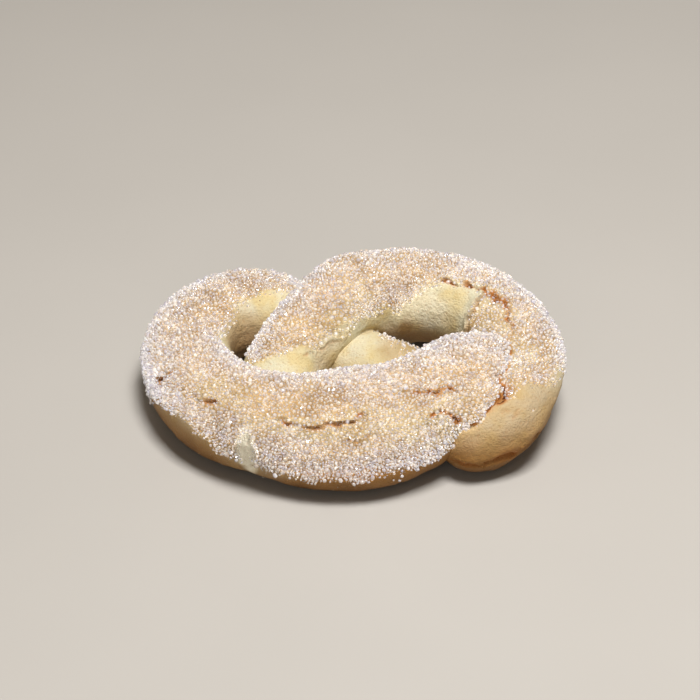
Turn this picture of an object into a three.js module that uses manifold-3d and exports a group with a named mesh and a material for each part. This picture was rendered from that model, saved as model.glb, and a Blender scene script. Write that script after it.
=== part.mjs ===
// A knotted sweet roll: one rope of rich dough, tied in a loose knot, rolled in coarse sugar and baked.
// Millimetres, +Z up. The roll lies on its flat baked underside at Z = 0, with the front strand towards -Y.
import * as THREE from 'three';
import { mergeVertices } from 'three/addons/utils/BufferGeometryUtils.js';
import Module from 'manifold-3d';

const wasm = await Module();
wasm.setup();

// Rope of dough
const ropeSides = 24;
const ringSpacing = 3.3;
const capSteps = 5;
const ropeFullness = 2.2;
const lumpDepth = 0.3;
const lumpLength = 8.5;
const lumpTwist = 1.7;
const dipsPerLump = 1.9;
const dipShare = 0.4;
const sectionStep = 1.5;
const weldDistance = 1e-4;

// Coarse sugar, the largest crystals only
const crystalCount = { wrap: 92, middle: 6, loop: 72 };
const crystalSmallest = 1.0;
const crystalLargest = 1.5;
const crystalSunk = 0.12;
const crystalWidth = [0.8, 1.0];
const crystalHeight = [0.7, 0.9];
const crystalSeed = 20417;
const sugarSpan = { wrap: [46, 186], middle: [70, 110], loop: [22, 122] };
const sugarReach = { wrap: [0, 1], middle: [0.3, 0.75], loop: [0.14, 0.9] };
const sugarClear = 1.25;

// Cracks where the crust tore in the oven
const crackRadius = 0.5;
const crackSides = 6;
const crackWander = 0.6;
const crackWaveLength = 8;
const crackStep = 2;

// Colours and finish of the sugared crust
const crustColour = 0xd9b98c;
const crustRoughness = 0.7;

// One place on the rope's centre line, with the rope's width and height there
function station(x, y, z, width, height) {
  return { centre: new THREE.Vector3(x, y, z), size: new THREE.Vector3(width / 2, height / 2, 0) };
}

// Stations round a lobe of the knot, on an arc of an ellipse that is turned in plan
function lobe({ x, y, halfLong, halfWide, turn, from, to, count, z, width, height }) {
  const turned = THREE.MathUtils.degToRad(turn);
  return Array.from({ length: count }, (_, step) => {
    const part = step / (count - 1);
    const angle = THREE.MathUtils.degToRad(THREE.MathUtils.lerp(from, to, part));
    const long = halfLong * Math.cos(angle);
    const wide = halfWide * Math.sin(angle);
    return station(
      x + long * Math.cos(turned) - wide * Math.sin(turned),
      y + long * Math.sin(turned) + wide * Math.cos(turned),
      THREE.MathUtils.lerp(z[0], z[1], part),
      THREE.MathUtils.lerp(width[0], width[1], part),
      THREE.MathUtils.lerp(height[0], height[1], part),
    );
  });
}

// The rope's route in three stretches. Each begins and ends where another strand covers it.
const route = {
  // From the tip pressed on the right lobe, along the front and round the left lobe
  wrap: [
    station(29.6, 1.6, 15.6, 14, 12.2),
    station(25.8, -7.1, 14.8, 20.4, 15.6),
    station(17, -15, 12.2, 22, 22),
    station(8, -20, 11.2, 24.6, 23.2),
    station(-2, -22, 10.8, 24.6, 22.6),
    station(-13, -21, 10.2, 22.4, 20.4),
    ...lobe({
      x: -13, y: 0, halfLong: 25.5, halfWide: 19.1, turn: -44, from: -85, to: -220, count: 6,
      z: [9.7, 8.5], width: [20.2, 17.4], height: [19.4, 17.6],
    }),
    station(-7, 19.5, 6.5, 15, 13),
  ],
  // Under the diagonal and across the middle, to the front strand
  middle: [
    station(-11.5, 17.5, 6.5, 16.6, 14),
    station(3.2, 5, 6.4, 17.6, 14.8),
    station(11.6, -2.2, 6.7, 18, 15.2),
    station(16, -9, 6, 18, 14),
    station(24, -17, 5.5, 16, 12),
  ],
  // Out from under the front strand, round the right lobe and down the diagonal to the tucked tail
  loop: [
    station(16, -21.6, 7, 14, 12.4),
    ...lobe({
      x: 14.5, y: 1.6, halfLong: 20.5, halfWide: 22.8, turn: 24, from: -74, to: 85, count: 7,
      z: [8.8, 12.7], width: [20.2, 19], height: [18.8, 19.4],
    }),
    station(-1.2, 18.4, 14.9, 18.4, 18.6),
    station(-7.8, 10.1, 12.9, 18, 17.6),
    station(-13.6, 3, 9.5, 17, 16),
    station(-17.3, -5.2, 7, 17, 13),
    station(-19.5, -12.5, 6.2, 15, 12),
  ],
};

// A stretch of rope: smooth curves for its centre line and for its half width and half height
function makeStretch(stations) {
  const line = new THREE.CatmullRomCurve3(stations.map((place) => place.centre), false, 'catmullrom', 0.5);
  const sizes = new THREE.CatmullRomCurve3(stations.map((place) => place.size), false, 'catmullrom', 0.5);
  const startRadius = stations[0].size.x;
  const endRadius = stations[stations.length - 1].size.x;
  return { line, sizes, length: line.getLength(), startRadius, endRadius };
}

// The rope's section at a distance along it: centre, half sizes, and the directions across and up
function sectionAt(stretch, along) {
  const place = THREE.MathUtils.clamp(along / stretch.length, 0, 1);
  const t = stretch.line.getUtoTmapping(place);
  const centre = stretch.line.getPoint(t);
  const size = stretch.sizes.getPoint(t);
  const forward = stretch.line.getTangent(t);
  const across = new THREE.Vector3(forward.y, -forward.x, 0).normalize();
  const up = new THREE.Vector3().crossVectors(across, forward);
  return { centre, halfWidth: size.x, halfHeight: size.y, across, up };
}

// Slow swells and dips of hand-rolled dough, as a distance out from the even rope
function lump(along, angle) {
  const swell = Math.sin(along / lumpLength + lumpTwist * Math.sin(angle));
  const dip = Math.sin(dipsPerLump * along / lumpLength - 2 * angle);
  return lumpDepth * THREE.MathUtils.lerp(swell, dip, dipShare);
}

// A point on the rope: angle 0 is straight across, a quarter turn is straight up.
// Reach is 1 on the surface and 0 on the centre line. The underside is baked flat.
function ropePoint(stretch, along, angle, reach = 1) {
  const { centre, halfWidth, halfHeight, across, up } = sectionAt(stretch, along);
  const rounding = 2 / ropeFullness;
  const side = Math.sign(Math.cos(angle)) * Math.abs(Math.cos(angle)) ** rounding;
  const rise = Math.sign(Math.sin(angle)) * Math.abs(Math.sin(angle)) ** rounding;
  const swell = lump(along, angle);
  const point = centre.clone()
    .addScaledVector(across, (halfWidth + swell) * reach * side)
    .addScaledVector(up, (halfHeight + swell) * reach * rise);
  point.z = Math.max(point.z, 0);
  return point;
}

// How far the surface reaches out from the centre line, from 0 at the very end of a rounded end to 1
function endReach(stretch, along) {
  const fromStart = Math.min(along / stretch.startRadius, 1);
  const fromEnd = Math.min((stretch.length - along) / stretch.endRadius, 1);
  return Math.sqrt(1 - (1 - fromStart) ** 2) * Math.sqrt(1 - (1 - fromEnd) ** 2);
}

// A straight blank of unit radius with rounded ends, as long as the rope, turned about its axis
function ropeBlank(stretch) {
  const { length, startRadius, endRadius } = stretch;
  const bodyLength = length - startRadius - endRadius;
  const bodySteps = Math.round(bodyLength / ringSpacing);
  const distances = [];
  for (let step = 0; step < capSteps; step += 1) {
    distances.push(startRadius * (1 - Math.cos((step / capSteps) * Math.PI / 2)));
  }
  for (let step = 0; step <= bodySteps; step += 1) {
    distances.push(startRadius + bodyLength * step / bodySteps);
  }
  for (let step = capSteps - 1; step >= 0; step -= 1) {
    distances.push(length - endRadius * (1 - Math.cos((step / capSteps) * Math.PI / 2)));
  }
  const profile = distances.map((along) => new THREE.Vector2(endReach(stretch, along), along));
  return new THREE.LatheGeometry(profile, ropeSides);
}

// The blank laid along its stretch of the route
function ropeGeometry(stretch) {
  const geometry = ropeBlank(stretch);
  const position = geometry.attributes.position;
  for (let index = 0; index < position.count; index += 1) {
    const across = position.getX(index);
    const up = position.getZ(index);
    const point = ropePoint(stretch, position.getY(index), Math.atan2(up, across), Math.hypot(across, up));
    position.setXYZ(index, point.x, point.y, point.z);
  }
  return geometry;
}

// A closed geometry as a solid that can be joined and cut
function toSolid(geometry) {
  const bare = geometry.clone();
  bare.deleteAttribute('normal');
  bare.deleteAttribute('uv');
  const merged = mergeVertices(bare, weldDistance);
  const corners = Array.from(merged.index.array);
  const triangles = [];
  for (let first = 0; first < corners.length; first += 3) {
    const [a, b, c] = corners.slice(first, first + 3);
    if (a !== b && b !== c && c !== a) triangles.push(a, b, c);
  }
  return new wasm.Manifold(new wasm.Mesh({
    numProp: 3,
    vertProperties: new Float32Array(merged.attributes.position.array),
    triVerts: new Uint32Array(triangles),
  }));
}

// A solid back as a geometry
function toGeometry(solid) {
  const mesh = solid.getMesh();
  const geometry = new THREE.BufferGeometry();
  geometry.setAttribute('position', new THREE.BufferAttribute(new Float32Array(mesh.vertProperties), 3));
  geometry.setIndex(new THREE.BufferAttribute(new Uint32Array(mesh.triVerts), 1));
  geometry.computeVertexNormals();
  return geometry;
}

// Whether a point lies in a stretch of rope that is grown by a clearance
function isInside(stretch, point, clearance) {
  const steps = Math.round(stretch.length / sectionStep);
  for (let step = 0; step <= steps; step += 1) {
    const { centre, halfWidth, halfHeight, across, up } = sectionAt(stretch, stretch.length * step / steps);
    const offset = point.clone().sub(centre);
    const side = Math.abs(offset.dot(across)) / (halfWidth + clearance);
    const rise = Math.abs(offset.dot(up)) / (halfHeight + clearance);
    const ahead = Math.sqrt(Math.max(offset.lengthSq() - offset.dot(across) ** 2 - offset.dot(up) ** 2, 0));
    if (ahead < sectionStep && side ** ropeFullness + rise ** ropeFullness < 1) return true;
  }
  return false;
}

// Seeded draws from 0 to 1, the same on every run
function makeDraw(seed) {
  let state = seed;
  return () => {
    state = (state * 1664525 + 1013904223) % 4294967296;
    return state / 4294967296;
  };
}

// One sugar crystal, a small block half sunk in the crust
function crystalGeometry(point, outward, draw) {
  const size = THREE.MathUtils.lerp(crystalSmallest, crystalLargest, draw() ** 2);
  const width = size * THREE.MathUtils.lerp(...crystalWidth, draw());
  const height = size * THREE.MathUtils.lerp(...crystalHeight, draw());
  const geometry = new THREE.BoxGeometry(size, width, height);
  geometry.rotateX(Math.PI * draw());
  geometry.rotateY(Math.PI * draw());
  geometry.rotateZ(Math.PI * draw());
  const seat = point.clone().addScaledVector(outward, size * crystalSunk);
  geometry.translate(seat.x, seat.y, seat.z);
  return geometry;
}

// Crystals spread evenly over the sugared top of a stretch, left out where another strand covers it
function crystals(name, stretches, draw) {
  const goldenPart = 0.618034;
  const stretch = stretches[name];
  const others = Object.entries(stretches).filter(([other]) => other !== name).map(([, other]) => other);
  const placed = [];
  for (let index = 0; index < crystalCount[name]; index += 1) {
    const part = (index + 0.5) / crystalCount[name];
    const along = stretch.length * THREE.MathUtils.lerp(...sugarReach[name], part);
    const spread = (index * goldenPart) % 1;
    const angle = THREE.MathUtils.degToRad(THREE.MathUtils.lerp(...sugarSpan[name], spread));
    const point = ropePoint(stretch, along, angle, endReach(stretch, along));
    const outward = point.clone().sub(sectionAt(stretch, along).centre).normalize();
    const covered = others.some((other) => isInside(other, point, sugarClear));
    const geometry = crystalGeometry(point, outward, draw);
    if (!covered) placed.push(geometry);
  }
  return placed;
}

// A crack that runs along a strand: a narrow groove with a slight wander
function crackGeometry(stretch, { from, to, angle, drift }) {
  const steps = Math.ceil(Math.abs(to - from) / crackStep) + 1;
  const points = Array.from({ length: steps + 1 }, (_, step) => {
    const part = step / steps;
    const along = THREE.MathUtils.lerp(from, to, part);
    const radius = sectionAt(stretch, along).halfHeight;
    const wander = crackWander / radius * Math.sin(2 * Math.PI * along / crackWaveLength + angle);
    return ropePoint(stretch, along, THREE.MathUtils.degToRad(angle + drift * part) + wander);
  });
  const section = new THREE.Shape().absarc(0, 0, crackRadius, 0, 2 * Math.PI);
  return new THREE.ExtrudeGeometry(section, {
    steps,
    curveSegments: crackSides,
    extrudePath: new THREE.CatmullRomCurve3(points),
    bevelEnabled: false,
  });
}

// Where the crust is cracked: distances along the stretch, the angle round it and how far that drifts
const cracks = {
  wrap: [
    { from: 21.5, to: 32.5, angle: 134, drift: -22 },
    { from: 24, to: 28.5, angle: 163, drift: -22 },
    { from: 40, to: 54, angle: 131, drift: 4 },
    { from: 68, to: 72, angle: 139, drift: 6 },
  ],
  loop: [
    { from: 33, to: 60, angle: 98, drift: 20 },
    { from: 96, to: 106.5, angle: 165, drift: -40 },
  ],
};

const stretches = Object.fromEntries(
  Object.entries(route).map(([name, stations]) => [name, makeStretch(stations)]),
);
const draw = makeDraw(crystalSeed);

let roll = toSolid(ropeGeometry(stretches.wrap));
roll = roll.add(toSolid(ropeGeometry(stretches.middle)));
roll = roll.add(toSolid(ropeGeometry(stretches.loop)));
for (const [name, list] of Object.entries(cracks)) {
  for (const crack of list) {
    roll = roll.subtract(toSolid(crackGeometry(stretches[name], crack)));
  }
}
for (const name of Object.keys(stretches)) {
  for (const geometry of crystals(name, stretches, draw)) {
    roll = roll.add(toSolid(geometry));
  }
}

const sugaredDough = new THREE.Mesh(
  toGeometry(roll),
  new THREE.MeshStandardMaterial({ color: crustColour, roughness: crustRoughness, metalness: 0 }),
);
sugaredDough.name = 'sugared_dough_knot';

const knottedRoll = new THREE.Group();
knottedRoll.add(sugaredDough);

export default knottedRoll;
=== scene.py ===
import math

import bmesh
import bpy
import numpy as np
from mathutils import Matrix, Vector
from mathutils.bvhtree import BVHTree
from mathutils.kdtree import KDTree


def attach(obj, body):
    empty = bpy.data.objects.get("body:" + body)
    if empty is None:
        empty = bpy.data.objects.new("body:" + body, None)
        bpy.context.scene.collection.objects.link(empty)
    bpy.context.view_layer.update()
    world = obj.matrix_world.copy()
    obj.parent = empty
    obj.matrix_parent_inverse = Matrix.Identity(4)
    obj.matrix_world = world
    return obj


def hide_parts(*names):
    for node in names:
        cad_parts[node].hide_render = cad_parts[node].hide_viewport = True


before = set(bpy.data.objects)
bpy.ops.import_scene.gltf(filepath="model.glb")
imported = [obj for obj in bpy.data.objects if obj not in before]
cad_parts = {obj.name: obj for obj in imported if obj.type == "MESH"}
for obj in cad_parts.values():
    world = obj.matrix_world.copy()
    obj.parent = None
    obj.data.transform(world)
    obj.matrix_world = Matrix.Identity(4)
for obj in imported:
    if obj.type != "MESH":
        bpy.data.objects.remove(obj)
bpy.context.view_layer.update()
mm = 0.001   # the settings below are in mm and degrees

# camera at the photo's angle above the floor
cameraSettings = {
    "aim": (-0.74, 0.0, 15.0), "distance": 600.0, "elevation": 36.0, "lens": 145.7, "clipStart": 10.0,
}
aim = Vector(cameraSettings["aim"]) * mm
tilt = math.radians(cameraSettings["elevation"])
camera = bpy.data.objects.new("camera", bpy.data.cameras.new("camera"))
camera.data.lens = cameraSettings["lens"]
camera.data.clip_start = cameraSettings["clipStart"] * mm
camera.location = aim + Vector((0, -math.cos(tilt), math.sin(tilt))) * cameraSettings["distance"] * mm
camera.rotation_euler = (aim - camera.location).to_track_quat("-Z", "Y").to_euler()
bpy.context.collection.objects.link(camera)
bpy.context.scene.camera = camera
print("camera placed")


def smooth(low, high, value):
    part = np.clip((value - low) / (high - low), 0, 1)
    return part * part * (3 - 2 * part)


# large odd numbers and shifts that stir the noise's cells
noiseSettings = {
    "seedStep": 17.31, "cellPrimes": (73856093, 19349663, 83492791),
    "stirs": ((13, 1274126177), (15, 668265263)), "keptBits": 0x7FFFFFFF,
}


def noise(points, size, seed):
    # soft lumps from -1 to 1, size in mm from one lump to the next
    place = points / size + seed * noiseSettings["seedStep"]
    cell = np.floor(place).astype(np.int64)
    part = place - cell
    ease = part * part * (3 - 2 * part)
    total = np.zeros(len(points))
    for corner in range(8):
        step = np.array([corner & 1, corner >> 1 & 1, corner >> 2 & 1])
        key = (cell + step) @ np.array(noiseSettings["cellPrimes"])
        for shift, prime in noiseSettings["stirs"]:
            key = (key ^ (key >> shift)) * prime & noiseSettings["keptBits"]
        weight = np.where(step, ease, 1 - ease).prod(axis=1)
        total += weight * ((key >> 7 & 0xFFFF) / 32767.5 - 1)   # 16 bits of the key, from -1 to 1
    return total


def layered(start, points, layers):
    # adds layers of noise, each with its size in mm, its amount and its seed
    total = start
    for size, amount, seed in layers:
        total = total + amount * noise(points, size, seed)
    return total


def lobe(centre, half, turn, span, count, z, width, height):
    # places on part of an ellipse, for a lobe of the knot
    turned = math.radians(turn)
    places = []
    for part in np.linspace(0, 1, count):
        angle = math.radians(span[0] + (span[1] - span[0]) * part)
        long, wide = half[0] * math.cos(angle), half[1] * math.sin(angle)
        places.append((
            centre[0] + long * math.cos(turned) - wide * math.sin(turned),
            centre[1] + long * math.sin(turned) + wide * math.cos(turned),
            *(np.interp(part, (0, 1), ends) for ends in (z, width, height))))
    return places


# the rope of dough, tied as the solid is: x, y, z, width, height of each place
route = {
    # from the tip pressed on the right lobe, along the front and round the left lobe
    "wrap": [
        (29.6, 1.6, 15.6, 14, 12.2), (25.8, -7.1, 14.8, 20.4, 15.6), (17, -15, 12.2, 22, 22),
        (8, -20, 11.2, 24.6, 23.2), (-2, -22, 10.8, 24.6, 22.6), (-13, -21, 10.2, 22.4, 20.4),
        *lobe((-13, 0), (25.5, 19.1), -44, (-85, -220), 6, (9.7, 8.5), (20.2, 17.4), (19.4, 17.6)),
        (-7, 19.5, 6.5, 15, 13)],
    # under the diagonal and across the middle
    "middle": [
        (-11.5, 17.5, 6.5, 16.6, 14), (3.2, 5, 6.4, 17.6, 14.8), (11.6, -2.2, 6.7, 18, 15.2),
        (16, -9, 6, 18, 14), (24, -17, 5.5, 16, 12)],
    # out from under the front strand, round the right lobe and down the diagonal
    "loop": [
        (16, -21.6, 7, 14, 12.4),
        *lobe((14.5, 1.6), (20.5, 22.8), 24, (-74, 85), 7, (8.8, 12.7), (20.2, 19), (18.8, 19.4)),
        (-1.2, 18.4, 14.9, 18.4, 18.6), (-7.8, 10.1, 12.9, 18, 17.6), (-13.6, 3, 9.5, 17, 16),
        (-17.3, -5.2, 7, 17, 13), (-19.5, -12.5, 6.2, 15, 12)],
}
ropeSettings = {
    "fullness": 2.2,                                # section between an ellipse and a rounded box
    "lumpDepth": 0.3, "lumpLength": 8.5,            # slow swells of hand-rolled dough
    "lumpTwist": 1.7, "dipsPerLump": 1.9, "dipShare": 0.4,
    "lineSteps": 4001,                              # steps in which a strand's middle line is drawn
    "ringStep": 0.4, "capRings": 18,                # mm between rings, rings in a rounded end
    "shown": (-30, 215), "shownStep": 2.1, "underStep": 4.8,   # degrees, finer where it shows
    # the dough's own lumps: size, height and seed
    "unevenness": ((6.0, 0.22, 0), (2.6, 0.12, 1), (1.3, 0.07, 2), (0.8, 0.04, 3)),
}


def makeStretch(stations):
    # a smooth curve through the places, with half the width and height along it
    knots = np.array(stations, float)
    knots[:, 3:] /= 2
    knots = np.vstack([2 * knots[0] - knots[1], knots, 2 * knots[-1] - knots[-2]])
    place = np.linspace(0, len(stations) - 1, ropeSettings["lineSteps"])
    cell = np.minimum(place.astype(int), len(stations) - 2)
    part = (place - cell)[:, None]
    before, start, end, after = (knots[cell + step] for step in range(4))
    bend = 2 * before - 5 * start + 4 * end - after + part * (3 * (start - end) + after - before)
    line = start + 0.5 * part * (end - before + part * bend)
    forward = np.gradient(line[:, :3], axis=0)
    forward /= np.linalg.norm(forward, axis=1)[:, None]
    lengths = np.r_[0, np.cumsum(np.linalg.norm(np.diff(line[:, :3], axis=0), axis=1))]
    return {"line": line, "forward": forward, "lengths": lengths, "length": lengths[-1]}


def halfSizes(stretch, along):
    return (np.interp(along, stretch["lengths"], stretch["line"][:, column]) for column in (3, 4))


def ropePoint(stretch, along, angle, lift):
    # angle 0 is across to the right of travel, 90 is up, lift is mm out from the even rope
    lengths, line = stretch["lengths"], stretch["line"]
    centre = np.stack([np.interp(along, lengths, line[:, axis]) for axis in range(3)], -1)
    ahead = np.stack([np.interp(along, lengths, stretch["forward"][:, axis]) for axis in range(3)], -1)
    halfWidth, halfHeight = halfSizes(stretch, along)
    across = np.stack([ahead[:, 1], -ahead[:, 0], np.zeros(len(along))], -1)
    across /= np.linalg.norm(across, axis=1)[:, None]
    up = np.cross(across, ahead)
    turn = np.radians(angle)
    rounding = 2 / ropeSettings["fullness"]
    side = np.sign(np.cos(turn)) * np.abs(np.cos(turn)) ** rounding
    rise = np.sign(np.sin(turn)) * np.abs(np.sin(turn)) ** rounding
    fromStart = np.clip(along / line[0, 3], 0, 1)
    fromEnd = np.clip((stretch["length"] - along) / line[-1, 3], 0, 1)
    reach = np.sqrt((1 - (1 - fromStart) ** 2) * (1 - (1 - fromEnd) ** 2))   # rounds the ends
    points = centre + across * ((halfWidth + lift) * reach * side)[:, None]
    points += up * ((halfHeight + lift) * reach * rise)[:, None]
    points[:, 2] = np.maximum(points[:, 2], 0)   # flat underside
    return points


def lump(along, angle):
    turn = np.radians(angle)
    swell = np.sin(along / ropeSettings["lumpLength"] + ropeSettings["lumpTwist"] * np.sin(turn))
    dip = np.sin(ropeSettings["dipsPerLump"] * along / ropeSettings["lumpLength"] - 2 * turn)
    share = ropeSettings["dipShare"]
    return ropeSettings["lumpDepth"] * ((1 - share) * swell + share * dip)


stretches = {strand: makeStretch(stations) for strand, stations in route.items()}
print("rope laid")

# where the crust tore in the oven: each path in mm along the strand and degrees round it
# proud is the side that stands higher: (mm along, mm round)
crackSettings = {
    "seed": 31, "step": 0.2, "turn": 1.1, "ragged": 0.45,   # mm between points and turns, mm off the path
    "widths": (0.1, 1.6), "strengths": (0.5, 1.25),         # open in some places, shut in others
    "endWidth": 0.35, "endTrim": 0.03,                      # narrow at its ends
    "reach": 5.0, "swell": 2.0, "leastGap": 0.2,            # mm from the tear
    "lipStart": 1.3, "stainAndShade": 2.6, "far": 99.0,             # half widths from the tear
}
cracks = [
    {"on": "wrap", "halfWidth": 0.27, "depth": 0.5, "lip": 0.3, "proud": (0, -1), "dark": 0.5,
     "path": [(52.8, 134), (50.1, 136), (47.7, 140), (45.4, 136), (43, 137), (41, 136), (39.5, 125)]},
    {"on": "wrap", "halfWidth": 0.26, "depth": 0.6, "lip": 0.3, "proud": (0, -1), "dark": 0.5,
     "path": [(31.6, 111), (28.9, 116), (27.3, 122), (24.1, 124), (21.9, 130), (20.7, 136)]},
    {"on": "wrap", "halfWidth": 0.29, "depth": 0.8, "lip": 0.3, "proud": (1, 0), "dark": 0.7,
     "path": [(27.8, 141), (25.4, 150), (23.1, 166)]},
    {"on": "wrap", "halfWidth": 0.22, "depth": 0.4, "lip": 0.1, "proud": (0, -1), "dark": 0.3,
     "path": [(41.9, 153), (40.3, 156), (38.4, 150)]},
    {"on": "wrap", "halfWidth": 0.42, "depth": 0.6, "lip": 0.25, "proud": (0, -1), "dark": 0.55,
     "path": [(70.2, 140), (69, 138), (67.6, 139), (65.8, 137)]},
    {"on": "wrap", "halfWidth": 0.28, "depth": 0.8, "lip": 0.2, "proud": (1, 0), "dark": 0.6,
     "path": [(80.5, 156), (79.2, 153), (78.1, 143), (77.5, 133)]},
    # the bare strip at the front is a shallow fold
    {"on": "wrap", "halfWidth": 0.9, "depth": 0.35, "lip": 0.1, "proud": (-1, 0), "dark": 0.0,
     "path": [(58.0, 160), (58.2, 177), (58.7, 193), (60, 207)]},
    {"on": "loop", "halfWidth": 0.22, "depth": 0.3, "lip": 0.1, "proud": (0, -1), "dark": 0.3,
     "path": [(106.3, 125), (102.9, 144), (100, 153), (96.8, 157), (95.5, 163)]},
    {"on": "loop", "halfWidth": 0.28, "depth": 0.8, "lip": 0.35, "proud": (0, -1), "dark": 0.55,
     "path": [(60.7, 118), (54.7, 112), (49.9, 102), (45.5, 100), (41.6, 97), (37.3, 100), (33.6, 98)]},
    # fold beside the tip, its dark line painted shade in the fold
    {"on": "loop", "halfWidth": 0.36, "depth": 0.9, "lip": 0.5, "proud": (1, 0), "dark": 0.3,
     "path": [(49.0, 106), (47.7, 121), (46.7, 136), (45.6, 152), (44.6, 168)]},
    # hole at the foot of the seam, its dark painted shade in the hole
    {"on": "loop", "halfWidth": 0.4, "depth": 1.2, "lip": 0.0, "proud": (0, 1), "dark": 1.6,
     "path": [(15.6, 80), (14.4, 74), (13.4, 69)]},
    {"on": "loop", "halfWidth": 0.25, "depth": 0.3, "lip": 0.0, "proud": (0, 1), "dark": 0.2,
     "path": [(13.4, 55), (14.2, 36)]},
    # above the thin rim of the right foot
    {"on": "loop", "halfWidth": 0.5, "depth": 0.9, "lip": 0.3, "proud": (0, 1), "dark": 0.5,
     "path": [(2, -15), (3.7, -14), (8.5, -14), (11.1, -10), (14, -9), (16.7, -7), (21, -8)]},
]


def crackLine(crack, seed):
    # the ragged line of a tear in mm along and round the strand, with its half width and strength
    path = np.array(crack["path"], float)
    radius = np.mean(list(halfSizes(stretches[crack["on"]], path[:, 0].mean())))
    path[:, 1] = np.radians(path[:, 1]) * radius
    run = np.r_[0, np.cumsum(np.linalg.norm(np.diff(path, axis=0), axis=1))]
    chance = np.random.default_rng(seed)
    turns = np.linspace(0, run[-1], int(run[-1] / crackSettings["turn"]) + 2)
    steps = np.linspace(0, run[-1], int(run[-1] / crackSettings["step"]) + 2)
    wander = chance.normal(0, crackSettings["ragged"], (2, len(turns)))
    line = np.stack([
        np.interp(steps, run, path[:, axis]) + np.interp(steps, turns, wander[axis])
        for axis in (0, 1)], -1)
    widths = chance.uniform(*crackSettings["widths"], len(turns))
    width = crack["halfWidth"] * np.interp(steps, turns, widths)
    trim, endWidth = crackSettings["endTrim"], crackSettings["endWidth"]
    middle = np.sqrt(np.sin(np.pi * np.clip(steps / run[-1], trim, 1 - trim)))
    width *= endWidth + (1 - endWidth) * middle
    strength = np.interp(steps, turns, chance.uniform(*crackSettings["strengths"], len(turns)))
    return {"radius": radius, "line": line, "width": width, "strength": strength}


for number, crack in enumerate(cracks):
    crack.update(crackLine(crack, crackSettings["seed"] + number))


def crackField(name, along, angle):
    # how far tears sink the surface in mm, how dark they are, and how many half widths off the nearest is
    sink, dark = np.zeros(len(along)), np.zeros(len(along))
    nearest = np.full(len(along), crackSettings["far"])
    for crack in cracks:
        if crack["on"] != name:
            continue
        here = np.stack([along, np.radians(angle) * crack["radius"]], -1)
        low = crack["line"].min(axis=0) - crackSettings["reach"]
        high = crack["line"].max(axis=0) + crackSettings["reach"]
        near = np.flatnonzero(((here > low) & (here < high)).all(axis=1))
        offset = here[near, None] - crack["line"]
        gaps = np.linalg.norm(offset, axis=2)
        closest = (gaps / crack["width"]).argmin(axis=1)
        row = np.arange(len(near))
        gap = gaps[row, closest]
        away = gap / crack["width"][closest]
        strength = crack["strength"][closest]
        toProud = offset[row, closest] @ np.array(crack["proud"])
        raised = 1 + toProud / np.maximum(gap, crackSettings["leastGap"])
        lip = crack["lip"] * raised * np.exp(-(gap / crackSettings["swell"]) ** 2)
        lip *= 1 - np.exp(-(away / crackSettings["lipStart"]) ** 2)
        sink[near] += crack["depth"] * strength * np.exp(-away ** 2) - lip
        # the darkening beside a tear: the tear's own colour, and painted shade in the hole at the seam
        stainAndShade = crack["dark"] * strength * np.exp(-(away / crackSettings["stainAndShade"]) ** 2)
        dark[near] = np.maximum(dark[near], stainAndShade)
        nearest[near] = np.minimum(nearest[near], away)
    return sink, dark, nearest


# where the sugar stuck: mm along the strand, then the degrees round it where it begins and ends
sugarLimits = {
    "wrap": [
        (0, 15, 190), (19, 30, 182), (27.7, 38, 190), (34.3, 40, 196), (42, 40, 197), (46, 40, 191),
        (50, 40, 197), (56, 40, 194), (60, 40, 187), (64, 40, 176), (70, 40, 167), (74, 41, 169),
        (78, 42, 182), (85, 43, 194), (95, 35, 186), (104.7, 44, 178), (111.8, 52, 176), (116.2, 61, 175),
        (120.4, 79, 172), (130, 100, 165)],
    "middle": [(0, 120, 120), (16, 118, 130), (25, 98, 150), (36, 84, 145), (50, 84, 140)],
    "loop": [
        (0, 90, 90), (11, 90, 91), (13, 72, 110), (16.9, 64, 150), (18.8, 60, 160), (21.1, 46, 165),
        (29.6, 22, 168), (37.2, -4, 165), (44.4, -8, 164), (45.6, -8, 149), (46.7, -8, 133),
        (47.7, -8, 118), (49, -8, 103), (58.5, -8, 117), (63.7, -6, 128), (70.3, -5, 152),
        (74.1, -5, 166), (85.6, -5, 166), (95.3, -2, 150), (101.2, 8, 138), (106.7, 30, 108),
        (109.6, 46, 84), (112, 60, 62), (122, 60, 60)],
}
coverSettings = {
    "edge": (-1.6, 1.8), "bays": ((3.4, 1.7, 5), (1.2, 0.6, 6)),   # mm from bare to covered, and its bays
    "usual": 0.78, "least": 0.4, "patches": ((7.5, 0.4, 8), (2.6, 0.25, 9)), "thinRagged": 0.5,
}
# spots on the strands: strand, mm along, degrees round, half sizes in mm along and round, and how strong
spotSettings = {"fade": (0.5, 1.25), "edgeSize": 1.8, "edgeSeed": 26}   # fade in half sizes of a spot
thinSugar = [
    ("wrap", 58.4, 179, 1.0, 4.6, 1.0), ("wrap", 31, 150, 9, 3.5, 0.35), ("wrap", 46.5, 146, 6, 2.0, 0.4),
    ("wrap", 26, 171, 4, 3.0, 0.4), ("wrap", 36, 128, 6, 2.5, 0.3), ("wrap", 66, 118, 8, 3.5, 0.25),
    ("wrap", 42, 140, 22, 3.0, 0.3), ("loop", 41, 122, 8, 8.0, 0.6), ("loop", 44.4, 150, 2.4, 5.0, 0.95),
    ("loop", 92, 140, 9, 5.0, 0.3), ("loop", 26, 90, 7, 5.0, 0.35), ("middle", 12, 120, 9, 22.0, 0.985),
    ("middle", 27, 115, 7, 22.0, 0.9), ("middle", 42, 120, 9, 22.0, 0.985),
]
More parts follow.
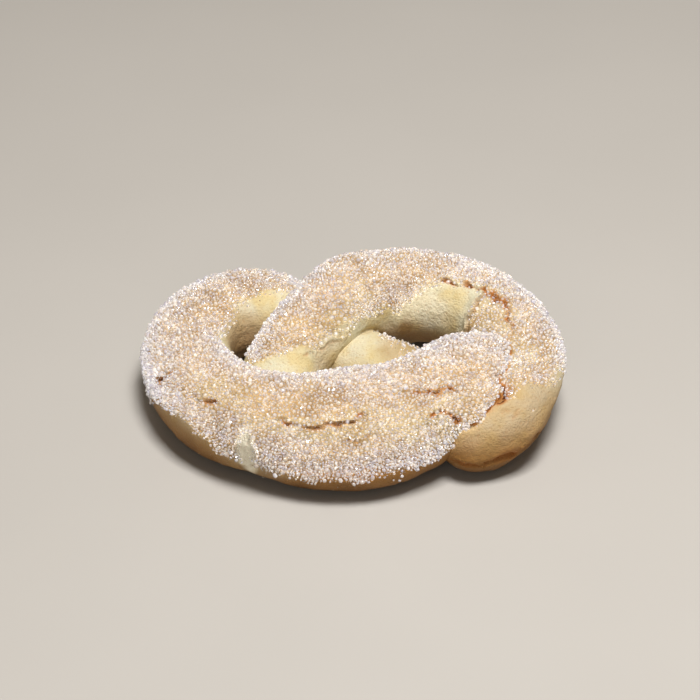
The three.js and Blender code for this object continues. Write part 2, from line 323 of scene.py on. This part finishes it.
# bare dough with the colour it has under the sugar: partly browned crust, partly painted shade low on the
# inner wall of the right lobe and beside the fold at the tip
toastedAndShaded = [
    ("loop", 71, 187, 3.2, 2.4, 0.75), ("loop", 65, 192, 9, 3.0, 0.45), ("loop", 40, 122, 8, 9.0, 0.75),
    ("loop", 43.8, 150, 2.4, 6.0, 1.0), ("loop", 101, 158, 6, 3.0, 0.4), ("middle", 27, 105, 6, 5.5, 0.65),
    ("wrap", 104, 14, 16, 5.0, 0.45), ("wrap", 70, 196, 9, 3.0, 0.5),
]
# skin given the brown near the floor, partly browned rind and partly painted shade on low sides turned from
# the light, and pale skin, partly painted light
rindAndShadeSpots = [
    ("loop", 66, 199, 14, 4.0, 0.3), ("loop", 12, 12, 15, 14.0, 0.5), ("loop", 22, -15, 9, 8.0, 0.4),
    ("wrap", 103, 12, 16, 8.0, 0.2), ("wrap", 76, 200, 16, 7.0, 0.35), ("wrap", 36, 210, 18, 6.0, 0.6),
]
# the bare strip at the front is a fold that faces down: its pale skin is painted paler still, as painted
# light
paleAndLitSpots = [("wrap", 58.4, 180, 2.0, 6.0, 1.0), ("loop", 64, 166, 12, 5.5, 0.35)]


def spotted(spots, name, along, angle, ragged=0.0):
    radius = sum(halfSizes(stretches[name], along)) / 2
    unrolled = np.stack([along, np.radians(angle) * radius, 0 * along], -1)
    edge = ragged * noise(unrolled, spotSettings["edgeSize"], spotSettings["edgeSeed"])
    total = np.zeros(len(along))
    for spot, at, turn, halfAlong, halfRound, strength in spots:
        if spot == name:
            away = np.hypot((along - at) / halfAlong, np.radians(angle - turn) * radius / halfRound)
            total = np.maximum(total, strength * (1 - smooth(*spotSettings["fade"], away + edge)))
    return total


def sugarCover(name, along, angle, points):
    limits = np.array(sugarLimits[name], float)
    low, high = (np.interp(along, limits[:, 0], limits[:, column]) for column in (1, 2))
    radius = sum(halfSizes(stretches[name], along)) / 2
    margin = np.radians(np.minimum(angle - low, high - angle)) * radius
    cover = smooth(*coverSettings["edge"], layered(margin, points, coverSettings["bays"]))
    return cover * (1 - spotted(thinSugar, name, along, angle, coverSettings["thinRagged"]))


def sugarPatches(points):
    # the sugar lies thicker in some places than in others
    thickness = layered(coverSettings["usual"], points, coverSettings["patches"])
    return np.clip(thickness, coverSettings["least"], 1)


# spots where the strand is fuller or leaner than its even section, strength in mm
swells = [
    ("wrap", 73, 205, 14, 6.5, 0.6), ("wrap", 45, 212, 14, 5.0, 0.8), ("wrap", 17.5, 170, 5.5, 5.5, 2.4),
]
hollows = [
    ("loop", 25, -34, 13, 7.5, 2.2), ("loop", 100, 152, 6, 2.5, 0.3),
    ("wrap", 5.5, 165, 6, 6.5, 2.2), ("wrap", 3, 95, 9, 8, 1.1),
]
# the thin rim under the right foot
rimSettings = {"along": (0, 3, 20, 26), "angle": (-14, -20, -42, -60), "height": 0.55}


def fullness(name, along, angle):
    # slow swells and hollows of the strand, in mm
    return lump(along, angle) + spotted(swells, name, along, angle) - spotted(hollows, name, along, angle)


def relief(name, along, angle, points):
    # what stands proud of the even rope or sinks into it, in mm, and how dark and how near the tears are
    lift = layered(fullness(name, along, angle), points, ropeSettings["unevenness"])
    sink, dark, nearest = crackField(name, along, angle)
    lift -= sink
    if name == "loop":
        start, full, fade, end = rimSettings["along"]
        rim = smooth(start, full, along) * (1 - smooth(fade, end, along))
        top, shelf, under, gone = rimSettings["angle"]
        rim *= (1 - smooth(shelf, top, angle)) * smooth(gone, under, angle)
        lift += rimSettings["height"] * rim
    return lift, dark, nearest


def strandGrid(name):
    # rings of points along a strand, with a single point at each rounded end
    stretch = stretches[name]
    startRadius, endRadius = stretch["line"][0, 3], stretch["line"][-1, 3]
    cap = 1 - np.cos(np.arange(1, ropeSettings["capRings"]) / ropeSettings["capRings"] * np.pi / 2)
    body = stretch["length"] - startRadius - endRadius
    bodyRings = startRadius + np.linspace(0, body, int(body / ropeSettings["ringStep"]) + 1)
    rings = np.r_[startRadius * cap, bodyRings, stretch["length"] - endRadius * cap[::-1]]
    low, high = ropeSettings["shown"]
    shown = np.arange(low, high, ropeSettings["shownStep"])
    angles = np.r_[shown, np.arange(high, low + 360, ropeSettings["underStep"])]
    along = np.r_[np.repeat(rings, len(angles)), 0, stretch["length"]]
    angle = np.r_[np.tile(angles, len(rings)), 90, 90]
    angle = np.where(angle > 270, angle - 360, angle)
    count, sides = len(rings), len(angles)
    near = np.arange(count * sides).reshape(count, sides)
    far = np.roll(near, -1, axis=1)
    faces = np.stack([near[:-1], near[1:], far[1:], far[:-1]], -1).reshape(-1, 4).tolist()
    first, last = count * sides, count * sides + 1
    faces += [(first, a, b) for a, b in zip(near[0], far[0])]
    faces += [(last, b, a) for a, b in zip(near[-1], far[-1])]
    return along, angle, faces, ropePoint(stretch, along, angle, fullness(name, along, angle))


def kdTree(points):
    found = KDTree(len(points))
    for number, point in enumerate(points):
        found.insert(point, number)
    found.balance()
    return found


# the groove where two strands meet, darkened as painted shade, wider and darker where the tip is pressed on
# the right lobe, where its dark is partly a browned seam and partly painted shade
creaseSettings = {
    "depth": 0.5, "halfWidth": 0.5, "seamWiden": 0.3, "dark": 0.15, "sharpAngle": 55,
    "usual": 0.6, "patches": ((1.6, 1.0, 21),),
}
seams = [("wrap", 10, 150, 17, 14, 0.9), ("loop", 26, 90, 16, 14, 0.9)]
grids = {strand: strandGrid(strand) for strand in route}
trees = {strand: kdTree(grid[3]) for strand, grid in grids.items()}
markNames = ("tornAndShaded", "brownedAndShaded", "rindAndShade", "crease")


def makeStrand(name):
    along, angle, faces, even = grids[name]
    others = [tree for other, tree in trees.items() if other != name]
    gap = np.array([min(tree.find(point)[2] for tree in others) for point in even])
    seam = spotted(seams, name, along, angle)
    crease = np.exp(-(gap / creaseSettings["halfWidth"] / (1 + creaseSettings["seamWiden"] * seam)) ** 2)
    crease *= np.clip(layered(creaseSettings["usual"], even, creaseSettings["patches"]), 0, 1)
    lift, dark, _ = relief(name, along, angle, even)
    points = ropePoint(stretches[name], along, angle, lift - creaseSettings["depth"] * crease)
    # the tear mark also carries the painted shade of the groove
    tornAndShaded = np.maximum(dark, crease * np.maximum(creaseSettings["dark"], seam))
    # browned under the sugar and in the toasted spots, which are partly painted shade
    brownedAndShaded = np.maximum(sugarCover(name, along, angle, even), spotted(toastedAndShaded, name, along, angle))
    rindAndShade = spotted(rindAndShadeSpots, name, along, angle) - spotted(paleAndLitSpots, name, along, angle)
    mesh = bpy.data.meshes.new(name)
    mesh.from_pydata(points.tolist(), [], faces)
    strand = bpy.data.objects.new(name, mesh)
    bpy.context.collection.objects.link(strand)
    print("strand", name, len(points), "points")
    return strand, points, np.stack([tornAndShaded, brownedAndShaded, rindAndShade, crease], -1)


# one mesh from the three strands, joined where they lie on each other
strands, strandPoints, strandMarks = zip(*(makeStrand(strand) for strand in route))
for other in strands[1:]:
    join = strands[0].modifiers.new("join", "BOOLEAN")
    join.operation, join.solver, join.object = "UNION", "MANIFOLD", other
graph = bpy.context.evaluated_depsgraph_get()
doughMesh = bpy.data.meshes.new_from_object(strands[0].evaluated_get(graph))
for strand in strands:
    bpy.data.objects.remove(strand)
doughMesh.name = "doughKnot"
doughMesh.materials.clear()
triangles = sum(len(face.vertices) - 2 for face in doughMesh.polygons)
print("dough joined", len(doughMesh.vertices), "points", triangles, "triangles")

# marks for the material and the sugar, from the nearest point of the strands
strandTree = kdTree(np.vstack(strandPoints))
nearestPoints = [strandTree.find(vertex.co)[1] for vertex in doughMesh.vertices]
doughMarks = dict(zip(markNames, np.vstack(strandMarks)[nearestPoints].T))
for mark in ("tornAndShaded", "brownedAndShaded", "rindAndShade"):
    layer = doughMesh.attributes.new(mark, "FLOAT", "POINT")
    layer.data.foreach_set("value", doughMarks[mark].astype(np.float32))
faceCrease = doughMarks["crease"][[face.vertices[0] for face in doughMesh.polygons]]
faceCorners = [face.vertices for face in doughMesh.polygons]
surface = BVHTree.FromPolygons([vertex.co for vertex in doughMesh.vertices], faceCorners)   # still in mm
doughMesh.transform(Matrix.Scale(mm, 4))
doughMesh.shade_smooth()
doughMesh.set_sharp_from_angle(angle=math.radians(creaseSettings["sharpAngle"]))
dough = bpy.data.objects.new("dough_knot", doughMesh)
bpy.context.collection.objects.link(dough)
print("dough marked")

# coarse sugar, thrown on the strands and kept where it finds room
sugarSettings = {
    "seed": 4711, "throws": 700000,
    "probe": (0.05, 0.3), "fullArea": 0.98,     # mm along and degrees round, to spread throws by area
    "stray": 0.001, "sureCover": 0.2,           # cover on bare dough, cover that keeps each throw
    "besideTear": 0.5, "tearReach": (1, 4),     # share of the cover beside a tear, half widths to all of it
    "buried": 0.3, "crease": 0.18,              # mm inside the joined dough, deepest groove with sugar
    "largeLeast": 0.16, "largeUsual": 0.65, "largePatches": ((5.5, 0.7, 12),),
    "wrapOuter": (112, 160), "otherOuter": (25, 75),  # degrees between the inner and the outer side
    "cell": 1.6, "leastCover": 0.05, "spread": 0.3,   # grains lie further apart where the cover is thin
    "sides": ((0.78, 1), (0.7, 0.95)), "worn": 0.11,  # shares of the longest side, uneven corners
    "tintPatches": ((7.0, 0.3, 15),), "footTint": 0.8,
    "clearTint": 0.9, "clearMiddle": 0.4, "clearLean": 1.5,
    # size in mm, room and raise in sizes of a grain, clear in half widths of a tear that stay free,
    # lean is how far small ones prevail, fade how soon they thin out, honey how warm the grains look,
    # outer ones lie mostly on the outer sides, and round ones are worn smooth
    "kinds": {
        "coarse": {
            "count": 9900, "size": (0.66, 1.32), "lean": 1.4, "room": 0.42, "raise": 0.22,
            "fade": 1.0, "clear": 1.8, "honey": 0.2, "outer": True, "round": True, "shadow": False},
        "medium": {
            "count": 16500, "size": (0.42, 0.68), "lean": 1.2, "room": 0.37, "raise": 0.25,
            "fade": 0.7, "clear": 1.4, "honey": 0.4, "outer": False, "round": False, "shadow": False},
        "fine": {
            "count": 13000, "size": (0.24, 0.40), "lean": 1.0, "room": 0.36, "raise": 0.28,
            "fade": 0.5, "clear": 0.7, "honey": 0.6, "outer": False, "round": False, "shadow": True},
    },
}


def largeShare(name, angle):
    # the largest crystals lie on the outer sides of the lobes
    if name == "wrap":
        outer = smooth(*sugarSettings["wrapOuter"], angle)
    else:
        outer = 1 - smooth(*sugarSettings["otherOuter"], angle)
    return sugarSettings["largeLeast"] + (1 - sugarSettings["largeLeast"]) * outer


def throwSugar(chance):
    # places on the strands, spread evenly by area, that lie free of other strands
    total = sum(stretch["length"] for stretch in stretches.values())
    probeAlong, probeRound = sugarSettings["probe"]
    beside = sugarSettings["besideTear"]
    found = []
    for name, stretch in stretches.items():
        count = int(sugarSettings["throws"] * stretch["length"] / total)
        along = chance.uniform(0, stretch["length"], count)
        angle = chance.uniform(*ropeSettings["shown"], count)
        flat = np.zeros(count)
        even = ropePoint(stretch, along, angle, flat)
        ahead = ropePoint(stretch, along + probeAlong, angle, flat) - even
        aside = ropePoint(stretch, along, angle + probeRound, flat) - even
        area = np.linalg.norm(np.cross(ahead, aside), axis=1)
        keep = chance.uniform(0, np.quantile(area, sugarSettings["fullArea"]), count) < area
        along, angle, even = along[keep], angle[keep], even[keep]
        cover = sugarCover(name, along, angle, even) + sugarSettings["stray"]
        keep = cover > chance.uniform(0, sugarSettings["sureCover"], len(cover))
        along, angle, even, cover = along[keep], angle[keep], even[keep], cover[keep]
        lift, _, nearest = relief(name, along, angle, even)
        cover = cover * np.maximum(sugarPatches(even), largeShare(name, angle))
        cover = cover * (beside + (1 - beside) * smooth(*sugarSettings["tearReach"], nearest))
        patches = layered(sugarSettings["largeUsual"], even, sugarSettings["largePatches"])
        large = largeShare(name, angle) * np.clip(patches, 0, 1)
        for point, *marks in zip(ropePoint(stretch, along, angle, lift), cover, large, nearest):
            place, normal, face, away = surface.find_nearest(point)
            if away < sugarSettings["buried"] and faceCrease[face] < sugarSettings["crease"]:
                found.append((*place, *normal, *marks))
    return chance.permutation(np.array(found))


sugarChance = np.random.default_rng(sugarSettings["seed"])
thrown = throwSugar(sugarChance)
print("sugar thrown on", len(thrown), "places")
taken = {}


def hasRoom(place, size, room):
    # keeps a grain off the ones already lying there
    cell = tuple(int(value // sugarSettings["cell"]) for value in place)
    for dx in (-1, 0, 1):
        for dy in (-1, 0, 1):
            for dz in (-1, 0, 1):
                for x, y, z, other in taken.get((cell[0] + dx, cell[1] + dy, cell[2] + dz), ()):
                    gap = room * (size + other)
                    if (x - place[0]) ** 2 + (y - place[1]) ** 2 + (z - place[2]) ** 2 < gap * gap:
                        return False
    taken.setdefault(cell, []).append((*place, size))
    return True


def pickGrains(kind):
    settings = sugarSettings["kinds"][kind]
    low, high = settings["size"]
    picked = []
    for *spot, cover, large, nearest in thrown:
        if len(picked) == settings["count"]:
            break
        likely = cover ** settings["fade"] * (large if settings["outer"] else 1)
        if nearest < settings["clear"] or sugarChance.uniform() > likely:
            continue
        size = low + (high - low) * sugarChance.uniform() ** settings["lean"]
        apart = max(cover, sugarSettings["leastCover"]) ** -sugarSettings["spread"]
        if hasRoom(spot[:3], size, settings["room"] * apart):
            picked.append((*spot, size))
    print("sugar", kind, len(picked), "grains")
    return np.array(picked)


def ball():
    made = bmesh.new()
    bmesh.ops.create_icosphere(made, subdivisions=1, radius=1)
    corners = np.array([vertex.co for vertex in made.verts])
    faces = [[vertex.index for vertex in face.verts] for face in made.faces]
    made.free()
    return corners, faces


def block():
    half = 0.82   # its corners reach further out than a ball's
    corners = np.array([(x, y, z) for x in (-1, 1) for y in (-1, 1) for z in (-1, 1)], float)
    faces = [(0, 1, 3, 2), (4, 6, 7, 5), (0, 4, 5, 1), (2, 3, 7, 6), (0, 2, 6, 4), (1, 5, 7, 3)]
    return corners * half, faces


def diamond():
    corners = np.array([(1, 0, 0), (-1, 0, 0), (0, 1, 0), (0, -1, 0), (0, 0, 1), (0, 0, -1)], float)
    faces = [(a, b, c) if (a + b + c) % 2 else (a, c, b) for a in (0, 1) for b in (2, 3) for c in (4, 5)]
    return corners, faces


def sugarPiece(kind, grains, shape):
    corners, faces = shape
    pieceName, settings = kind + "_sugar_crystals", sugarSettings["kinds"][kind]
    count = len(grains)
    places, normals, sizes = grains[:, :3], grains[:, 3:6], grains[:, 6]
    spin = sugarChance.normal(size=(count, 4))
    w, x, y, z = (spin / np.linalg.norm(spin, axis=1)[:, None]).T
    turn = np.stack([
        1 - 2 * (y * y + z * z), 2 * (x * y - z * w), 2 * (x * z + y * w),
        2 * (x * y + z * w), 1 - 2 * (x * x + z * z), 2 * (y * z - x * w),
        2 * (x * z - y * w), 2 * (y * z + x * w), 1 - 2 * (x * x + y * y)], -1).reshape(count, 3, 3)
    sides = [sugarChance.uniform(low, high, count) for low, high in sugarSettings["sides"]]
    half = sizes[:, None] / 2 * np.stack([np.ones(count), *sides], -1)
    centre = places + normals * (sizes * settings["raise"])[:, None]
    worn = corners * sugarChance.normal(1, sugarSettings["worn"], (count, len(corners), 1))
    points = np.einsum("nij,nkj->nki", turn, worn * half[:, None]) + centre[:, None]
    firsts = range(0, count * len(corners), len(corners))
    allFaces = [[first + corner for corner in face] for first in firsts for face in faces]
    mesh = bpy.data.meshes.new(pieceName)
    mesh.from_pydata((points.reshape(-1, 3) * mm).tolist(), [], allFaces)
    if settings["round"]:
        mesh.shade_smooth()
    # painted light: the dough's colour, as if seen through a clear grain, is painted on it, strongest at
    # its foot and in the clearer grains
    above = np.einsum("nkj,nj->nk", points - places[:, None], normals) / sizes[:, None]
    clear = sugarChance.uniform(0, 1, (count, 1)) ** sugarSettings["clearLean"]
    warm = layered(settings["honey"], places, sugarSettings["tintPatches"])[:, None]
    through = sugarSettings["clearTint"] * (clear - sugarSettings["clearMiddle"])
    tint = np.clip(warm - sugarSettings["footTint"] * above + through, 0, 1)
    layer = mesh.attributes.new("tint", "FLOAT", "POINT")
    layer.data.foreach_set("value", tint.ravel().astype(np.float32))
    piece = bpy.data.objects.new(pieceName, mesh)
    piece.visible_shadow = settings["shadow"]   # light goes through the larger crystals
    bpy.context.collection.objects.link(piece)
    return piece


sugarPieces = []
for kind, shape in (("coarse", ball()), ("medium", block()), ("fine", diamond())):
    sugarPieces.append(sugarPiece(kind, pickGrains(kind), shape))
print("sugar meshed")


def linear(hexColour):
    # the sRGB curve undone
    parts = [int(hexColour[k:k + 2], 16) / 255 for k in (1, 3, 5)]
    return [part / 12.92 if part <= 0.04045 else ((part + 0.055) / 1.055) ** 2.4 for part in parts] + [1.0]


def addNode(tree, kind, inputs, **settings):
    made = tree.nodes.new(kind)
    for key, value in settings.items():
        setattr(made, key, value)
    for key, value in inputs.items():
        if isinstance(value, bpy.types.NodeSocket):
            tree.links.new(value, made.inputs[key])
        else:
            made.inputs[key].default_value = value
    return made


def perMm(size):
    # a noise texture's scale for lumps of this size in mm
    return 1 / (size * mm)


def newMaterial(name):
    material = bpy.data.materials.new(name)
    material.use_nodes = True
    material.node_tree.nodes.clear()
    return material, material.node_tree


mixShare, mixFrom, mixTo, mixed = 0, 6, 7, 2   # sockets of a Mix node for colours

# baked sweet dough, risen and oven-browned: matt and finely pored, cream where a strand covered it,
# tan under the sugar, orange to dark brown in the tears and darkest at the sole. The tear colours also
# paint the shade in the grooves and the hole, the foot and sole are partly painted shade near the floor,
# and the pale skin is partly painted light
doughLook = {
    "cream": "#CEC7AB", "straw": "#CCB988", "golden": "#B6996C", "tan": "#94754A",
    "foot": "#A0733A", "sole": "#42260E", "paleAndLit": "#F1E9D2", "tearAndShade": "#A46A32", "darkTearAndShade": "#4E260F",
    "mottleSize": 6.0, "speckleSize": 0.7, "poreSize": 0.42,   # mm
    "mottle": (0.40, 0.64), "pores": (0.55, 0.75), "poreShade": 0.42,   # spans of the noise
    "footHeight": (3.0, 16.5), "soleHeight": (2.0, 10.5), "wavy": 5.0,   # mm above the floor
    "paleAndLitSpan": (-0.8, 0.0), "tearEdgeAndShade": (0.08, 0.5), "tearDeepAndShade": (0.5, 0.95),   # spans of the marks
    "roughness": (0.55, 0.8), "specular": 0.3, "bump": 0.75, "bumpDepth": 0.3,
}


def bakedDough():
    material, tree = newMaterial("baked_sweet_dough")
    place = addNode(tree, "ShaderNodeTexCoord", {}).outputs["Object"]
    position = addNode(tree, "ShaderNodeNewGeometry", {}).outputs["Position"]
    height = addNode(tree, "ShaderNodeSeparateXYZ", {"Vector": position}).outputs["Z"]
    tornAndShaded, brownedAndShaded, rindAndShade = (
        addNode(tree, "ShaderNodeAttribute", {}, attribute_name=mark).outputs["Fac"]
        for mark in ("tornAndShaded", "brownedAndShaded", "rindAndShade"))
    mottle, speckle, pores = (
        addNode(tree, "ShaderNodeTexNoise", {
            "Vector": place, "Scale": perMm(doughLook[size]), "Detail": detail}).outputs["Fac"]
        for size, detail in (("mottleSize", 4.0), ("speckleSize", 3.0), ("poreSize", 2.0)))

    # mottled dough, bare or under the sugar, where the toasted spots are partly painted shade
    patches = addNode(tree, "ShaderNodeMapRange", {
        "Value": mottle, "From Min": doughLook["mottle"][0],
        "From Max": doughLook["mottle"][1]}).outputs[0]
    bare, under = (
        addNode(tree, "ShaderNodeMix", {
            mixShare: patches, mixFrom: linear(doughLook[pale]), mixTo: linear(doughLook[dark])},
            data_type="RGBA").outputs[mixed]
        for pale, dark in (("cream", "straw"), ("golden", "tan")))
    colour = addNode(tree, "ShaderNodeMix", {
        mixShare: brownedAndShaded, mixFrom: bare, mixTo: under}, data_type="RGBA").outputs[mixed]

    # how much of the foot and the sole shows, with a wavy edge: darker towards the floor, partly browned
    # crust and partly painted shade
    uneven = addNode(tree, "ShaderNodeMath", {
        0: mottle, 1: doughLook["wavy"] * mm, 2: height}, operation="MULTIPLY_ADD").outputs[0]
    low, lowest = (
        addNode(tree, "ShaderNodeMapRange", {
            "Value": uneven, "From Min": doughLook[zone][0] * mm, "From Max": doughLook[zone][1] * mm,
            "To Min": 1.0, "To Max": 0.0}).outputs[0]
        for zone in ("footHeight", "soleHeight"))
    foot = addNode(tree, "ShaderNodeMath", {0: low, 1: rindAndShade}, operation="ADD", use_clamp=True).outputs[0]
    kept = addNode(tree, "ShaderNodeMapRange", {
        "Value": rindAndShade, "From Min": doughLook["paleAndLitSpan"][0], "From Max": doughLook["paleAndLitSpan"][1]}).outputs[0]
    sole = addNode(tree, "ShaderNodeMath", {0: lowest, 1: kept}, operation="MULTIPLY").outputs[0]
    # pale skin, painted paler as painted light on the fold of the bare strip
    paleAndLit = addNode(tree, "ShaderNodeMath", {0: 1.0, 1: kept}, operation="SUBTRACT").outputs[0]

    # dark pores, then the tears, whose colours also paint the shade in the grooves and the hole
    dots = addNode(tree, "ShaderNodeMapRange", {
        "Value": pores, "From Min": doughLook["pores"][0], "From Max": doughLook["pores"][1],
        "To Max": doughLook["poreShade"]}).outputs[0]
    tearEdgeAndShade, tearDeepAndShade = (
        addNode(tree, "ShaderNodeMapRange", {
            "Value": tornAndShaded, "From Min": doughLook[zone][0], "From Max": doughLook[zone][1]}).outputs[0]
        for zone in ("tearEdgeAndShade", "tearDeepAndShade"))
    layers = (
        (foot, "foot"), (sole, "sole"), (paleAndLit, "paleAndLit"),
        (dots, "tearAndShade"), (tearEdgeAndShade, "tearAndShade"), (tearDeepAndShade, "darkTearAndShade"))
    for share, paint in layers:
        colour = addNode(tree, "ShaderNodeMix", {
            mixShare: share, mixFrom: colour, mixTo: linear(doughLook[paint])},
            data_type="RGBA").outputs[mixed]

    rough = addNode(tree, "ShaderNodeMapRange", {
        "Value": speckle, "To Min": doughLook["roughness"][0],
        "To Max": doughLook["roughness"][1]}).outputs[0]
    grain = addNode(tree, "ShaderNodeMath", {0: speckle, 1: pores}, operation="SUBTRACT").outputs[0]
    bump = addNode(tree, "ShaderNodeBump", {
        "Height": grain, "Strength": doughLook["bump"],
        "Distance": doughLook["bumpDepth"] * mm}).outputs[0]
    shader = addNode(tree, "ShaderNodeBsdfPrincipled", {
        "Base Color": colour, "Roughness": rough, "Normal": bump,
        "Specular IOR Level": doughLook["specular"]})
    addNode(tree, "ShaderNodeOutputMaterial", {"Surface": shader.outputs[0]})
    return material


# clear sugar crystals, grown in syrup: half see-through and milky inside, white with a breath of lilac,
# with small bright glints, and the dough's honey colour painted at their feet as light seen through them
sugarLook = {
    "white": "#FEFDFB", "lilac": "#D4D2DC", "honey": "#C9B28A",
    "patchSize": 1.0, "patch": (0.40, 0.60), "roughness": (0.03, 0.10),
    "ior": 1.54, "clear": 0.55, "milky": 0.7, "milkyDepth": 0.4,
}


def sugarCrystal():
    material, tree = newMaterial("clear_sugar_crystal")
    place = addNode(tree, "ShaderNodeTexCoord", {}).outputs["Object"]
    patch = addNode(tree, "ShaderNodeTexNoise", {
        "Vector": place, "Scale": perMm(sugarLook["patchSize"]), "Detail": 2.0}).outputs["Fac"]
    shade = addNode(tree, "ShaderNodeMapRange", {
        "Value": patch, "From Min": sugarLook["patch"][0], "From Max": sugarLook["patch"][1]}).outputs[0]
    frosted = addNode(tree, "ShaderNodeMix", {
        mixShare: shade, mixFrom: linear(sugarLook["white"]), mixTo: linear(sugarLook["lilac"])},
        data_type="RGBA").outputs[mixed]
    # the tint is painted light: the dough's colour seen through the crystal
    tint = addNode(tree, "ShaderNodeAttribute", {}, attribute_name="tint").outputs["Fac"]
    colour = addNode(tree, "ShaderNodeMix", {
        mixShare: tint, mixFrom: frosted, mixTo: linear(sugarLook["honey"])},
        data_type="RGBA").outputs[mixed]
    rough = addNode(tree, "ShaderNodeMapRange", {
        "Value": patch, "To Min": sugarLook["roughness"][0],
        "To Max": sugarLook["roughness"][1]}).outputs[0]
    shader = addNode(tree, "ShaderNodeBsdfPrincipled", {
        "Base Color": colour, "Roughness": rough, "IOR": sugarLook["ior"],
        "Transmission Weight": sugarLook["clear"], "Subsurface Weight": sugarLook["milky"],
        "Subsurface Radius": (1.0, 1.0, 1.0), "Subsurface Scale": sugarLook["milkyDepth"] * mm})
    addNode(tree, "ShaderNodeOutputMaterial", {"Surface": shader.outputs[0]})
    return material


doughMesh.materials.append(bakedDough())
crystal = sugarCrystal()
for piece in sugarPieces:
    piece.data.materials.append(crystal)
print("materials made")

for piece in (dough, *sugarPieces):
    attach(piece, "root")
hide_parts("sugared_dough_knot")

# plain pale floor, rolled with matt paint: nearly even, without glints
floorSettings = {
    "half": 2500.0, "drop": 0.1, "pale": "#AFAAA3", "paler": "#B5B0A9",
    "patchSize": 60.0, "roughness": 0.6,
}


def mattPaint():
    material, tree = newMaterial("painted_table_top")
    place = addNode(tree, "ShaderNodeTexCoord", {}).outputs["Object"]
    patch = addNode(tree, "ShaderNodeTexNoise", {
        "Vector": place, "Scale": perMm(floorSettings["patchSize"])}).outputs["Fac"]
    colour = addNode(tree, "ShaderNodeMix", {
        mixShare: patch, mixFrom: linear(floorSettings["pale"]), mixTo: linear(floorSettings["paler"])},
        data_type="RGBA").outputs[mixed]
    shader = addNode(tree, "ShaderNodeBsdfPrincipled", {
        "Base Color": colour, "Roughness": floorSettings["roughness"]})
    addNode(tree, "ShaderNodeOutputMaterial", {"Surface": shader.outputs[0]})
    return material


half, drop = floorSettings["half"] * mm, floorSettings["drop"] * mm
floorCorners = [(-half, -half, -drop), (half, -half, -drop), (half, half, -drop), (-half, half, -drop)]
floorMesh = bpy.data.meshes.new("floor")
floorMesh.from_pydata(floorCorners, [], [(0, 1, 2, 3)])
floorMesh.materials.append(mattPaint())
floor = bpy.data.objects.new("floor", floorMesh)
bpy.context.collection.objects.link(floor)

# a lamp overhead that gives the crystals their glints, a weak fill from the camera's side,
# and a slightly warm room that lightens the shadows
lights = {
    "overhead": {"at": (90, -120, 620), "size": 200, "power": 5.4},
    "fill": {"at": (-100, -550, 300), "size": 400, "power": 0.45},
}
room = {"colour": "#F4E2C8", "strength": 0.18}
bpy.context.scene.view_settings.view_transform = "Standard"   # keeps the crust's colours as they are set
for lampName, lampSettings in lights.items():
    lamp = bpy.data.lights.new(lampName, "AREA")
    lamp.size, lamp.energy = lampSettings["size"] * mm, lampSettings["power"]
    light = bpy.data.objects.new(lampName, lamp)
    light.location = [value * mm for value in lampSettings["at"]]
    light.rotation_euler = (aim - light.location).to_track_quat("-Z", "Y").to_euler()
    bpy.context.collection.objects.link(light)
world = bpy.data.worlds.new("pale_room")
bpy.context.scene.world = world
world.use_nodes = True
background = world.node_tree.nodes["Background"]
background.inputs["Color"].default_value = linear(room["colour"])
background.inputs["Strength"].default_value = room["strength"]
print("floor and light placed")
